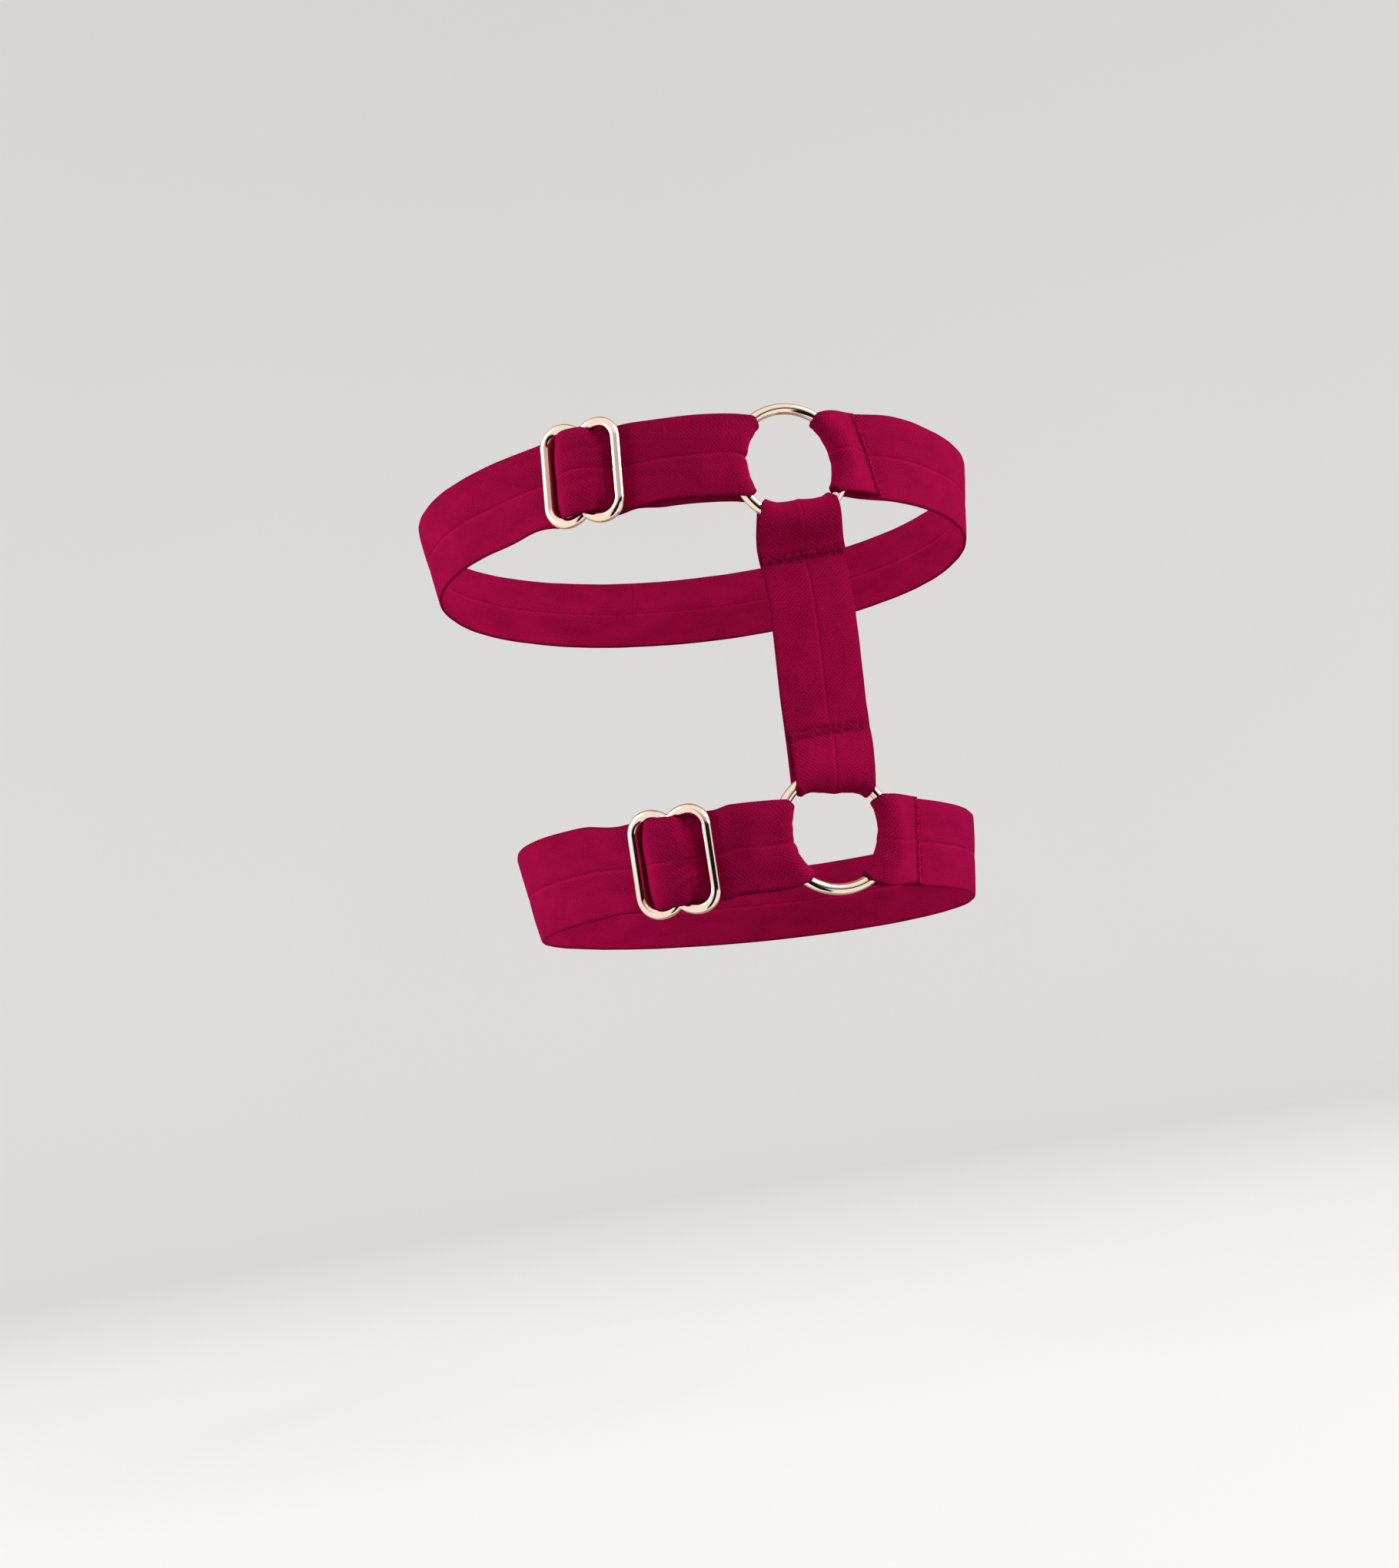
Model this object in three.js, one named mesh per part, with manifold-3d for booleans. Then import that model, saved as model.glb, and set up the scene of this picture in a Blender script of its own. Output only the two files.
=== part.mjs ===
// Thigh harness of satin elastic strap: two bands round the thigh, each with a round ring
// and a figure-eight slider, joined at the front by one upright strap between the rings.
// Millimetres. +Z runs up the thigh, -Y is the front and +X is the right of the front view.
// The origin lies on the axis of the thigh, half way between the two bands.

import * as THREE from 'three';
import { mergeVertices } from 'three/addons/utils/BufferGeometryUtils.js';
import Module from 'manifold-3d';

const DEGREE = Math.PI / 180;

// Strap of fold-over elastic. Layers that touch are drawn a small gap apart.
const STRAP_WIDTH = 25;
const STRAP_THICKNESS = 1.2;
const GAP = 0.3;
const HALF_WIDTH = STRAP_WIDTH / 2;
const LAYER = STRAP_THICKNESS + GAP;

// Heights of a strap's middle surface over the skin, for the first and the second layer.
const INNER_LAYER = STRAP_THICKNESS / 2;
const OUTER_LAYER = INNER_LAYER + LAYER;

// The thigh under the harness: an oval whose half widths grow with the height z.
const THIGH_HALF_SIDE = 76.5;
const THIGH_HALF_FRONT = 75.2;
const THIGH_TAPER_SIDE = 0.157;
const THIGH_TAPER_FRONT = 0.059;
const THIGH_FLARE = 0.0000388;

// Rings: outer diameter and wire, and how high the middle of the wire is over the skin.
const RING_DIAMETER = 35.2;
const RING_WIRE = 3.1;
const RING_LIFT = 3.3;
const RING_RADIUS = (RING_DIAMETER - RING_WIRE) / 2;
const RING_FACETS = 36;
const WIRE_FACETS = 8;

// Sliders: outer size, wire, the thinner middle bar, and their height over the skin.
const SLIDER_WIDTH = 24.6;
const SLIDER_HEIGHT = 30.2;
const SLIDER_WIRE = 3.2;
const SLIDER_BAR = 2.4;
const SLIDER_LIFT = 4;
const SLIDER_CORNER = 5.1;
const SLIDER_LOBE = 7;
const LOBE_STEPS = 22;

// Where the middle surface of a strap runs round a ring's wire and round a slider's bars.
const RING_TURN = RING_WIRE / 2 + GAP + STRAP_THICKNESS / 2;
const BAR_TURN = SLIDER_BAR / 2 + GAP + STRAP_THICKNESS / 2;
const UNDER_SLIDER = -(SLIDER_WIRE / 2 + GAP + STRAP_THICKNESS / 2);

// Each strap is a sheet of threads. A row is one point for each thread, -1 to 1 across it.
const THREADS = 7;
const ACROSS = Array.from({ length: THREADS }, (_, i) => (2 * i) / (THREADS - 1) - 1);

// How strongly a strap holds its heading where it leaves a fold.
const BRIDGE_BEND = 0.9;

// Angles are taken round the thigh from the front, positive to the right.
// A fold's middle and half are angles round its ring, from the ring's right, anticlockwise,
// its slack is how far the middle of the fold stands off the wire and its ease how soon that
// falls away to its sides, its fan is how much the strap spreads as it leaves, and its spread is
// 1 where it tucks in towards the ring's middle and less where it tucks in more squarely.
// A slider's before and after are how the strap leans to either side of its middle bar.
// A band's stitched tab ends at low and high. Its round, front and back run from one angle to
// another: round the thigh to the slider, from the slider to the ring, and back under the front.
const UPPER = {
  height: 55.6,
  leanSide: -0.0387,
  leanDeep: 0.0093,
  pull: -1.2,
  ring: { angle: 18.9, z: 49.5, turn: -2.5, nod: -1.5, spin: 0 },
  slider: { angle: -19.1, z: 56.3, turn: -1.2, nod: -1.6, spin: -6.8, before: 4.6, after: 0 },
  rightFold: { middle: 11, half: 46, side: 1, slack: 1.1, ease: 1, fan: 0.2, spread: 1 },
  leftFold: { middle: 171, half: 46, side: -1, slack: 0.7, ease: 1, fan: 0.1, spread: 1 },
  tab: { low: 39.2, high: 33.8, half: 11.9, shift: 0.5 },
  round: { from: 34.5, to: 320 },
  front: { from: -5.5, to: -1.5, half: 11.75, shift: 0.55 },
  back: { from: -1.5, to: -5.5, half: 11.1, shift: -1.4 },
};
const LOWER = {
  height: -55.6,
  leanSide: -0.0572,
  leanDeep: -0.0011,
  pull: 0.9,
  ring: { angle: 19.8, z: -54, turn: -5, nod: -3, spin: 0 },
  slider: { angle: -16.6, z: -55.6, turn: 0.3, nod: 2.3, spin: -3.7, before: 0.4, after: -0.6 },
  rightFold: { middle: -15, half: 48, side: 1, slack: 1, ease: 1, fan: 0.3, spread: 1 },
  leftFold: { middle: 190, half: 45, side: -1, slack: 0.7, ease: 1, fan: 0.3, spread: 1 },
  tab: { low: 42.9, high: 43.9, half: 12.4, shift: 0.3 },
  round: { from: 37.5, to: 320 },
  front: { from: -2.5, to: -1, half: 12.3, shift: 0.2 },
  back: { from: -1, to: -2.5, half: 12.2, shift: -0.2 },
};
const CENTRE = {
  angle: 21.4,
  bow: 1.4,
  bowMiddle: -7,
  bowReach: 32,
  topFold: { middle: -86, half: 43.5, side: 1, slack: 2.6, ease: 2, fan: 0.3, spread: 0.9 },
  bottomFold: { middle: 85, half: 44, side: -1, slack: 2.7, ease: 2, fan: 0.1, spread: 0.8 },
  topTab: { left: 22.3, right: 25.4, half: 13, shift: 0.4 },
  bottomTab: { left: -26.3, right: -24.7, half: 12.2, shift: 0.3 },
  plain: { top: 24.5, bottom: -24.5, half: 12.9, shift: 0.3 },
};

// How far along the thigh's girth the pull of a ring on its band is felt, in degrees.
const PULL_REACH = 16;

const ELASTIC = { color: 0x96053c, roughness: 0.45, metalness: 0 };
const METAL = { color: 0xe6cdb8, roughness: 0.15, metalness: 1 };

function thighPoint(angle, z, height) {
  const flare = THIGH_FLARE * z * z + height;
  const side = THIGH_HALF_SIDE + THIGH_TAPER_SIDE * z + flare;
  const front = THIGH_HALF_FRONT + THIGH_TAPER_FRONT * z + flare;
  const turn = angle * DEGREE;
  return new THREE.Vector3(side * Math.sin(turn), -front * Math.cos(turn), z);
}

// Unit vectors at a place on the thigh: right round it, up it, and out of it.
function thighAxes(angle, z) {
  const step = 0.5;
  const up = thighPoint(angle, z + step, 0).sub(thighPoint(angle, z - step, 0)).normalize();
  const round = thighPoint(angle + step, z, 0).sub(thighPoint(angle - step, z, 0)).normalize();
  const out = round.cross(up).normalize();
  return { right: up.clone().cross(out), up, out };
}

// The frame of a metal piece on the thigh, turned about its own up, right and out axes.
function pieceFrame(place, lift) {
  const { right, up, out } = thighAxes(place.angle, place.z);
  right.applyAxisAngle(out, place.spin * DEGREE);
  up.applyAxisAngle(out, place.spin * DEGREE);
  right.applyAxisAngle(up, place.turn * DEGREE);
  out.applyAxisAngle(up, place.turn * DEGREE);
  up.applyAxisAngle(right, place.nod * DEGREE);
  out.applyAxisAngle(right, place.nod * DEGREE);
  return { centre: thighPoint(place.angle, place.z, lift), right, up, out };
}

function inFrame(frame, x, y, height) {
  return frame.centre
    .clone()
    .addScaledVector(frame.right, x)
    .addScaledVector(frame.up, y)
    .addScaledVector(frame.out, height);
}

// The height of a band's middle line where it passes an angle.
function bandHeight(band, angle) {
  const onSkin = thighPoint(angle, band.height, 0);
  const fromRing = (angle - band.ring.angle) / PULL_REACH;
  const pull = band.pull * Math.exp(-fromRing * fromRing);
  return band.height + band.leanSide * onSkin.x + band.leanDeep * onSkin.y + pull;
}

// How a strap lies across its line: its half width and how far it is moved aside.
const FLAT = { half: HALF_WIDTH, shift: 0 };

// One row across a band. angleOf gives the angle of each thread.
function bandRow(band, angleOf, height, { half, shift }) {
  return ACROSS.map((across) => {
    const angle = angleOf(across);
    const z = bandHeight(band, angle);
    const { up } = thighAxes(angle, z);
    return thighPoint(angle, z, height).addScaledVector(up, across * half + shift);
  });
}

function bandLeg(band, angles, height, lie) {
  return { rows: angles.map((angle) => bandRow(band, () => angle, height, lie)) };
}

// The angle of the middle line of the upright strap at a height.
function centreAngle(z) {
  const bow = (z - CENTRE.bowMiddle) / CENTRE.bowReach;
  return CENTRE.angle - CENTRE.bow * bow ** 3;
}

// One row across the upright strap. zOf gives the height of each thread.
function centreRow(zOf, height, { half, shift }) {
  return ACROSS.map((across) => {
    const z = zOf(across);
    const angle = centreAngle(z);
    const perDegree = thighPoint(angle + 0.5, z, 0).distanceTo(thighPoint(angle - 0.5, z, 0));
    return thighPoint(angle + (across * half + shift) / perDegree, z, height);
  });
}

// The fold of a strap in a ring: over the wire, into the hole and back under the wire.
// tucks runs from 90 above the wire, through 0 in the hole, to -90 below it.
const TUCKS = [94, 61, 31, 0, -31, -61, -94];

function ringFold(place, fold) {
  const frame = pieceFrame(place, RING_LIFT);
  const middle = fold.middle * DEGREE;
  const arcOf = (across) => middle + fold.side * across * fold.half * DEGREE;
  const pointOf = (across, tuck) => {
    const arc = arcOf(across);
    const inward = middle + (arc - middle) * fold.spread;
    const turn = RING_TURN / Math.cos(arc - inward);
    const into = Math.cos(tuck * DEGREE);
    const slack = fold.slack * (1 - across * across) ** fold.ease * Math.max(into, 0);
    const x = RING_RADIUS * Math.cos(arc) - (turn * into + slack) * Math.cos(inward);
    const y = RING_RADIUS * Math.sin(arc) - (turn * into + slack) * Math.sin(inward);
    return inFrame(frame, x, y, RING_TURN * Math.sin(tuck * DEGREE));
  };
  const outward = ACROSS.map((across) => {
    const fan = middle + (arcOf(across) - middle) * fold.fan;
    return frame.right.clone().multiplyScalar(Math.cos(fan)).addScaledVector(frame.up, Math.sin(fan));
  });
  return {
    rows: TUCKS.map((tuck) => ACROSS.map((across) => pointOf(across, tuck))),
    start: outward.map((heading) => heading.clone().negate()),
    end: outward,
  };
}

// The strap inside a slider, as rows of places (x along it, height) and half widths.
function sliderLeg(band, places) {
  const frame = pieceFrame(band.slider, SLIDER_LIFT);
  const { before, after } = band.slider;
  return {
    rows: places.map(({ x, height, half }) => {
      const aside = x * Math.tan((x < 0 ? before : after) * DEGREE);
      return ACROSS.map((across) => inFrame(frame, x, across * half + aside, height));
    }),
  };
}

const SIDE_BAR = (SLIDER_WIDTH - SLIDER_WIRE) / 2;
const SLIDER_EXIT = SLIDER_WIDTH / 2 + 0.4;

// The strap comes under the left bar, stands up steeply inside it, lies over the middle bar and
// goes down under the right bar. It is pinched where it passes inside the rounded corners.
const OVER_MIDDLE_BAR = [
  { x: -SLIDER_EXIT, height: UNDER_SLIDER, half: 12.4 },
  { x: -SIDE_BAR, height: UNDER_SLIDER, half: 12.4 },
  { x: -9.7, height: -2.45, half: 11 },
  { x: -8.9, height: -2.2, half: 9.7 },
  { x: -8.2, height: -1.3, half: 9.4 },
  { x: -7.6, height: -0.3, half: 9.5 },
  { x: -7.1, height: 0.7, half: 10 },
  { x: -6.5, height: 1.7, half: 10.5 },
  { x: -5.7, height: 2.6, half: 11.2 },
  { x: -4.5, height: 3.4, half: 12 },
  { x: -3, height: 3.8, half: 12.2 },
  { x: -1, height: 3.85, half: 12.2 },
  { x: 1, height: 3.7, half: 12.2 },
  { x: 2.6, height: 3.25, half: 12 },
  { x: 4, height: 2.45, half: 11.3 },
  { x: 5.4, height: 1.4, half: 10.9 },
  { x: 6.8, height: 0.1, half: 10.7 },
  { x: 8, height: -1.3, half: 10 },
  { x: 9.2, height: -2.4, half: 10.4 },
  { x: SIDE_BAR, height: UNDER_SLIDER, half: 12 },
  { x: SLIDER_EXIT, height: UNDER_SLIDER, half: 12.4 },
];

// The strap's own end: under the right bar, round the middle bar, and back on itself.
function endOnBar(band) {
  const half = 9;
  const under = UNDER_SLIDER - LAYER;
  const approach = [
    { x: SLIDER_EXIT, height: under, half: 11.4 },
    { x: SIDE_BAR, height: under, half: 11 },
    { x: 8, height: under + 0.35, half: 10.6 },
    { x: 5.4, height: under + 0.95, half: 10 },
    { x: 2.8, height: -BAR_TURN - 0.3, half: 9.5 },
  ];
  const turns = [270, 240, 210, 180, 150, 120, 90, 62];
  const round = turns.map((turn) => ({
    x: BAR_TURN * Math.cos(turn * DEGREE),
    height: BAR_TURN * Math.sin(turn * DEGREE),
    half,
  }));
  const tuckedEnd = [
    { x: 2.7, height: 0.6, half },
    { x: 4.1, height: -0.75, half },
  ];
  return sliderLeg(band, [...approach, ...round, ...tuckedEnd]);
}

// Rows that lead from the end of one leg to the start of the next.
function bridge(from, to, count) {
  const rows = [];
  const last = from.rows.at(-1);
  const beforeLast = from.rows.at(-2);
  const [first, second] = to.rows;
  for (let i = 1; i <= count; i += 1) {
    const t = i / (count + 1);
    rows.push(last.map((start, j) => {
      const end = first[j];
      const pull = start.distanceTo(end) * BRIDGE_BEND;
      const leaving = from.end ? from.end[j].clone() : start.clone().sub(beforeLast[j]);
      const arriving = to.start ? to.start[j].clone() : second[j].clone().sub(end);
      leaving.normalize().multiplyScalar(pull);
      arriving.normalize().multiplyScalar(pull);
      return start
        .clone()
        .multiplyScalar(1 + t * t * (2 * t - 3))
        .addScaledVector(leaving, t * (1 - t) * (1 - t))
        .addScaledVector(end, t * t * (3 - 2 * t))
        .addScaledVector(arriving, -t * t * (1 - t));
    }));
  }
  return rows;
}

function strapRows(legs, bridgeSteps) {
  const rows = [];
  legs.forEach((leg, i) => {
    rows.push(...leg.rows);
    if (i < legs.length - 1) rows.push(...bridge(leg, legs[i + 1], bridgeSteps));
  });
  return rows;
}

// A sheet of rows made into a closed strap of even thickness.
function strapGeometry(rows) {
  const rowCount = rows.length;
  const positions = [];
  const along = new THREE.Vector3();
  const across = new THREE.Vector3();
  const sheets = [1, -1].map((face) => rows.map((row, i) => row.map((point, j) => {
    const next = rows[Math.min(i + 1, rowCount - 1)][j];
    const previous = rows[Math.max(i - 1, 0)][j];
    along.subVectors(next, previous);
    across.subVectors(row[Math.min(j + 1, THREADS - 1)], row[Math.max(j - 1, 0)]);
    const normal = along.clone().cross(across).normalize();
    return point.clone().addScaledVector(normal, (face * STRAP_THICKNESS) / 2);
  })));
  const addTriangle = (a, b, c) => [a, b, c].forEach((corner) => positions.push(...corner.toArray()));
  const addQuad = (a, b, c, d) => {
    addTriangle(a, b, c);
    addTriangle(a, c, d);
  };
  const [top, bottom] = sheets;
  const end = rowCount - 1;
  const edge = THREADS - 1;
  for (let i = 0; i < end; i += 1) {
    for (let j = 0; j < edge; j += 1) {
      addQuad(top[i][j], top[i + 1][j], top[i + 1][j + 1], top[i][j + 1]);
      addQuad(bottom[i][j], bottom[i][j + 1], bottom[i + 1][j + 1], bottom[i + 1][j]);
    }
    addQuad(top[i][0], bottom[i][0], bottom[i + 1][0], top[i + 1][0]);
    addQuad(top[i][edge], top[i + 1][edge], bottom[i + 1][edge], bottom[i][edge]);
  }
  for (let j = 0; j < edge; j += 1) {
    addQuad(top[0][j], top[0][j + 1], bottom[0][j + 1], bottom[0][j]);
    addQuad(top[end][j], bottom[end][j], bottom[end][j + 1], top[end][j + 1]);
  }
  const geometry = new THREE.BufferGeometry();
  geometry.setAttribute('position', new THREE.Float32BufferAttribute(positions, 3));
  const merged = mergeVertices(geometry, 1e-4);
  merged.computeVertexNormals();
  return merged;
}

function steps(from, to, count) {
  return Array.from({ length: count + 1 }, (_, i) => from + ((to - from) * i) / count);
}

// A band starts at the stitched tab right of its ring and ends on its slider's middle bar.
function bandRows(band) {
  const { low, high } = band.tab;
  const tabAngle = (across) => (low + high) / 2 + ((high - low) / 2) * across;
  const tabHem = [0, -1.2].map((back) =>
    bandRow(band, (across) => tabAngle(across) + back, OUTER_LAYER, band.tab));
  const run = (lie, count) => steps(lie.from, lie.to, count);
  return strapRows([
    { rows: tabHem },
    ringFold(band.ring, band.rightFold),
    bandLeg(band, run(band.round, 37), INNER_LAYER, FLAT),
    sliderLeg(band, OVER_MIDDLE_BAR),
    bandLeg(band, run(band.front, 2), OUTER_LAYER, band.front),
    ringFold(band.ring, band.leftFold),
    bandLeg(band, run(band.back, 2), INNER_LAYER, band.back),
    endOnBar(band),
  ], 5);
}

// The upright strap has a stitched tab at each end and lies on the skin between them.
function centreRows() {
  const tabZ = (tab, across) => (tab.left + tab.right) / 2 + ((tab.right - tab.left) / 2) * across;
  const hem = (tab, back) =>
    centreRow((across) => tabZ(tab, across) + back, OUTER_LAYER, tab);
  const { topTab, bottomTab, plain } = CENTRE;
  const between = steps(plain.top, plain.bottom, 7).map((z) => centreRow(() => z, INNER_LAYER, plain));
  return strapRows([
    { rows: [hem(topTab, 0), hem(topTab, 1.5)] },
    ringFold(UPPER.ring, CENTRE.topFold),
    { rows: between },
    reversed(ringFold(LOWER.ring, CENTRE.bottomFold)),
    { rows: [hem(bottomTab, -1.5), hem(bottomTab, 0)] },
  ], 5);
}

// A fold met from below the wire instead of from above it.
function reversed(leg) {
  return { rows: [...leg.rows].reverse(), start: leg.start, end: leg.end };
}

// Half of a slider's wire outline: from the middle bar over a lobe, down the side, and back.
class LobeCurve extends THREE.Curve {
  constructor() {
    super();
    const top = (SLIDER_HEIGHT - SLIDER_WIRE) / 2;
    const crown = SIDE_BAR - SLIDER_CORNER;
    const notch = Math.asin(crown / SLIDER_LOBE);
    const quarter = Math.PI / 2;
    this.pieces = [
      arcPiece(crown, top - SLIDER_LOBE, SLIDER_LOBE, quarter + notch, quarter),
      arcPiece(crown, top - SLIDER_CORNER, SLIDER_CORNER, quarter, 0),
      linePiece(SIDE_BAR, top - SLIDER_CORNER, SIDE_BAR, SLIDER_CORNER - top),
      arcPiece(crown, SLIDER_CORNER - top, SLIDER_CORNER, 0, -quarter),
      arcPiece(crown, SLIDER_LOBE - top, SLIDER_LOBE, -quarter, -quarter - notch),
    ];
    this.total = this.pieces.reduce((sum, piece) => sum + piece.length, 0);
  }

  getPoint(t, target = new THREE.Vector3()) {
    let left = t * this.total;
    const last = this.pieces.at(-1);
    for (const piece of this.pieces) {
      if (left <= piece.length || piece === last) {
        const [x, y] = piece.at(Math.min(left / piece.length, 1));
        return target.set(x, y, 0);
      }
      left -= piece.length;
    }
    return target;
  }
}

function arcPiece(x, y, radius, from, to) {
  return {
    length: radius * Math.abs(to - from),
    at: (t) => {
      const angle = from + (to - from) * t;
      return [x + radius * Math.cos(angle), y + radius * Math.sin(angle)];
    },
  };
}

function linePiece(x0, y0, x1, y1) {
  return {
    length: Math.hypot(x1 - x0, y1 - y0),
    at: (t) => [x0 + (x1 - x0) * t, y0 + (y1 - y0) * t],
  };
}

const wasm = await Module();
wasm.setup();

function solidOf(geometry) {
  const bare = geometry.clone();
  bare.deleteAttribute('normal');
  bare.deleteAttribute('uv');
  const merged = mergeVertices(bare, 1e-4);
  return new wasm.Manifold(new wasm.Mesh({
    numProp: 3,
    vertProperties: merged.attributes.position.array,
    triVerts: new Uint32Array(merged.index.array),
  }));
}

function geometryOf(solid) {
  const mesh = solid.getMesh();
  const geometry = new THREE.BufferGeometry();
  geometry.setAttribute('position', new THREE.BufferAttribute(mesh.vertProperties, 3));
  geometry.setIndex(new THREE.BufferAttribute(mesh.triVerts, 1));
  geometry.computeVertexNormals();
  return geometry;
}

// A slider: two lobes of wire side by side, joined by the middle bar and its two ends.
function sliderGeometry() {
  const wire = new THREE.Shape().absarc(0, 0, SLIDER_WIRE / 2, 0, 2 * Math.PI);
  const curve = new LobeCurve();
  const rightLobe = new THREE.ExtrudeGeometry(wire, {
    steps: LOBE_STEPS,
    curveSegments: WIRE_FACETS / 2,
    extrudePath: curve,
  });
  const leftLobe = rightLobe.clone().rotateZ(Math.PI);
  const barEnd = curve.getPoint(0).y;
  const bar = new THREE.CylinderGeometry(SLIDER_BAR / 2, SLIDER_BAR / 2, 2 * barEnd, WIRE_FACETS);
  let solid = solidOf(rightLobe).add(solidOf(leftLobe)).add(solidOf(bar));
  for (const side of [1, -1]) {
    const knot = new THREE.SphereGeometry(SLIDER_WIRE / 2, WIRE_FACETS, 6);
    solid = solid.add(solidOf(knot.translate(0, side * barEnd, 0)));
  }
  return geometryOf(solid);
}

function placed(mesh, frame) {
  const basis = new THREE.Matrix4().makeBasis(frame.right, frame.up, frame.out);
  mesh.quaternion.setFromRotationMatrix(basis);
  mesh.position.copy(frame.centre);
  return mesh;
}

function namedMesh(name, geometry, finish) {
  const mesh = new THREE.Mesh(geometry, new THREE.MeshStandardMaterial(finish));
  mesh.name = name;
  return mesh;
}

const harness = new THREE.Group();
harness.name = 'thigh_harness';

for (const [level, band] of [['upper', UPPER], ['lower', LOWER]]) {
  const ring = new THREE.TorusGeometry(RING_RADIUS, RING_WIRE / 2, WIRE_FACETS, RING_FACETS);
  harness.add(
    namedMesh(`${level}_band`, strapGeometry(bandRows(band)), ELASTIC),
    placed(namedMesh(`${level}_ring`, ring, METAL), pieceFrame(band.ring, RING_LIFT)),
    placed(namedMesh(`${level}_slider`, sliderGeometry(), METAL), pieceFrame(band.slider, SLIDER_LIFT)),
  );
}
harness.add(namedMesh('centre_strap', strapGeometry(centreRows()), ELASTIC));

export default harness;
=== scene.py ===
import math

import bpy
import numpy as np
from mathutils import Matrix


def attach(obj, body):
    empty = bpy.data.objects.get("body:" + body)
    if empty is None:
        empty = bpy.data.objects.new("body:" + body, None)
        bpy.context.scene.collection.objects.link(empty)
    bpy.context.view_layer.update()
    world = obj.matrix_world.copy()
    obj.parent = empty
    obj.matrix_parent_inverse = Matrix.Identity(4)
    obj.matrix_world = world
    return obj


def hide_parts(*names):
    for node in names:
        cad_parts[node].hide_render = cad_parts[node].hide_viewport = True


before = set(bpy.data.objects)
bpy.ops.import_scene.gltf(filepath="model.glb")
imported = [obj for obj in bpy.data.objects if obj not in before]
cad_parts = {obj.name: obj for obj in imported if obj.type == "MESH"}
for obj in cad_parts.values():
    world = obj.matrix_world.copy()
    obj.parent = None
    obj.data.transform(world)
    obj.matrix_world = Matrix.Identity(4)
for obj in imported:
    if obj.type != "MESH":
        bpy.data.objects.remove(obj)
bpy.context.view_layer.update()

# Looks of the thigh harness. Sizes are in millimetres and angles in degrees, and meshes are
# made in metres. Each strap is a sheet of rows laid round the thigh, as in the CAD model.
MM = 0.001
FULL_TURN = 2 * math.pi

# Strap of fold-over elastic.
STRAP_WIDTH = 25
STRAP_THICKNESS = 1.2
GAP = 0.3
HALF_WIDTH = STRAP_WIDTH / 2
LAYER = STRAP_THICKNESS + GAP
INNER_LAYER = STRAP_THICKNESS / 2
OUTER_LAYER = INNER_LAYER + LAYER

# The thigh under the harness: an oval whose half widths grow with the height z.
THIGH_HALF_SIDE = 76.5
THIGH_HALF_FRONT = 75.2
THIGH_TAPER_SIDE = 0.157
THIGH_TAPER_FRONT = 0.059
THIGH_FLARE = 0.0000388

# Rings and sliders.
RING_DIAMETER = 35.2
RING_WIRE = 3.1
RING_LIFT = 3.3
RING_RADIUS = (RING_DIAMETER - RING_WIRE) / 2
SLIDER_WIDTH = 24.6
SLIDER_HEIGHT = 30.2
SLIDER_WIRE = 3.2
SLIDER_BAR = 2.4
SLIDER_LIFT = 4
SLIDER_CORNER = 5.1
SLIDER_LOBE = 7
SIDE_BAR = (SLIDER_WIDTH - SLIDER_WIRE) / 2
SLIDER_EXIT = SLIDER_WIDTH / 2 + 0.4

# Where the middle surface of a strap runs round a ring's wire and round a slider's bars.
RING_TURN = RING_WIRE / 2 + GAP + STRAP_THICKNESS / 2
BAR_TURN = SLIDER_BAR / 2 + GAP + STRAP_THICKNESS / 2
UNDER_SLIDER = -(SLIDER_WIRE / 2 + GAP + STRAP_THICKNESS / 2)

# Points across a strap, -1 to 1, close together where its edges round off.
FLAT_PART = 0.94
FLAT_POINTS = 57
ROUND_PART = FLAT_PART + (1 - FLAT_PART) * np.sin(np.radians([24, 46, 66, 90]))
FLAT_SHARES = np.linspace(-FLAT_PART, FLAT_PART, FLAT_POINTS)
ACROSS = np.concatenate([-ROUND_PART[::-1], FLAT_SHARES, ROUND_PART])
MIDDLE = len(ACROSS) // 2

# A bridge leads from one leg of a strap to the next in a few rows, and its bend is how strongly
# it holds their headings.
BRIDGE_ROWS = 5
BRIDGE_BEND = 0.9

# In how many steps the legs of a band and the plain part of the centre strap are laid out.
ROUND_STEPS = 37
SHORT_STEPS = 2
PLAIN_STEPS = 7

# How far round the thigh, in degrees, the pull of a ring on its band is felt.
PULL_REACH = 16

# A tab's raw end is pressed down and thinned, which leaves a small step to the layer below.
# The press fades out along the tab, and the seam's painted shadow on the satin fades to both sides
# of the raw end.
TAB_PRESS = 0.5
TAB_THINNING = 0.28
PRESS_REACH = 2.6
SEAM_SHADE_REACH = 0.9
TAB_STEP = OUTER_LAYER - TAB_PRESS + STRAP_THICKNESS / 2 - TAB_THINNING - STRAP_THICKNESS
TAB_STEP_LENGTH = 0.4

# How far the second row of a hem lies from the raw end.
BAND_HEM = 1.2
CENTRE_HEM = 1.5

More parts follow.
